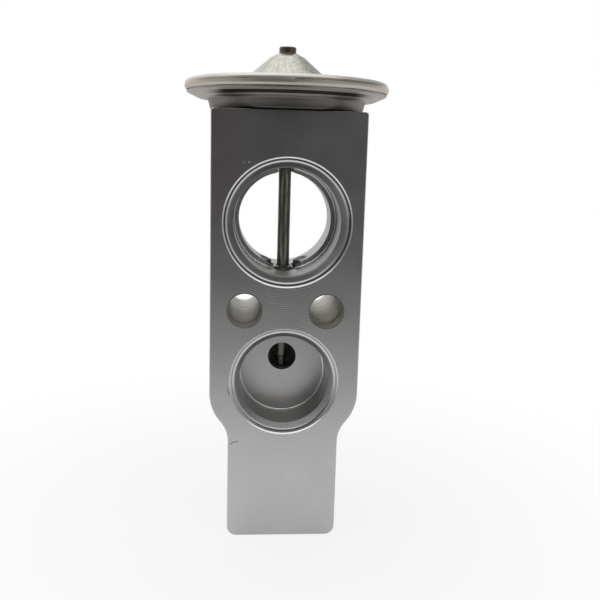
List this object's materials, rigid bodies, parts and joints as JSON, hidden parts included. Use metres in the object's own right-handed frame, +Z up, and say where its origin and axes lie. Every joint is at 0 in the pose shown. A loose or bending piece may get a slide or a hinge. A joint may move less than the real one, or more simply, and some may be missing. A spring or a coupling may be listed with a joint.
{
  "type": "thermostatic expansion valve",
  "caption": "Block-type refrigerant expansion valve: aluminium block with stepped suction and liquid ports on two faces, bolt holes, a spring-loaded ball valve and a round diaphragm head.",
  "frame": {"origin": "centre of the block's flat lower end, below the rod's axis", "axes": "+Z up the rod to the diaphragm head, -Y out of the front (evaporator) face, +X to the right seen from the front"},
  "size_m": [0.0416, 0.0416, 0.0998],
  "materials": {
    "block_aluminium": "milled, satin",
    "rod_steel": "ground, dark",
    "seal_rubber": "moulded, matt",
    "backup_plastic": "plain",
    "retainer_steel": "stamped, bright",
    "ball_steel": "polished",
    "carrier_brass": "turned",
    "spring_steel": "drawn wire and thin sheet",
    "screw_brass": "turned",
    "collar_steel": "turned",
    "housing_steel": "pressed, satin",
    "diaphragm_steel": "rolled foil",
    "cover_steel": "pressed, satin",
    "plug_steel": "heat-darkened"
  },
  "bodies": {
    "housing": {"valve_body": "block_aluminium", "threaded_collar": "collar_steel", "head_lower_housing": "housing_steel", "head_cover": "cover_steel", "charge_plug": "plug_steel", "diaphragm": "diaphragm_steel", "head_seal": "seal_rubber", "rod_seal": "seal_rubber", "backup_ring": "backup_plastic", "seal_retainer": "retainer_steel", "superheat_spring": "spring_steel"},
    "valve_stem": {"diaphragm_stopper": "carrier_brass", "actuating_rod": "rod_steel", "valve_ball": "ball_steel", "ball_carrier": "carrier_brass", "damper_ring": "spring_steel"},
    "screw_travel": {"adjusting_screw_seal": "seal_rubber"},
    "screw": {"adjusting_screw": "screw_brass"}
  },
  "joints": [
    {"name": "valve_stroke", "type": "slide", "parent": "housing", "child": "valve_stem", "axis": [0, 0, 1], "range_m": [0, 0.0008], "stiffness_N_per_m": 5000, "deforming": ["diaphragm", "superheat_spring"]},
    {"name": "adjusting_slide", "type": "slide", "parent": "housing", "child": "screw_travel", "axis": [0, 0, 1], "range_m": [-0.001, 0.001], "deforming": ["superheat_spring"]},
    {"name": "adjusting_turn", "type": "hinge", "parent": "screw_travel", "child": "screw", "pos_m": [0, 0, 0.006], "axis": [0, 0, 1], "range_deg": [-360, 360]}
  ],
  "couplings": [
    {"joint": "adjusting_slide", "follows": "adjusting_turn", "m_per_rad": 0.00015915}
  ]
}
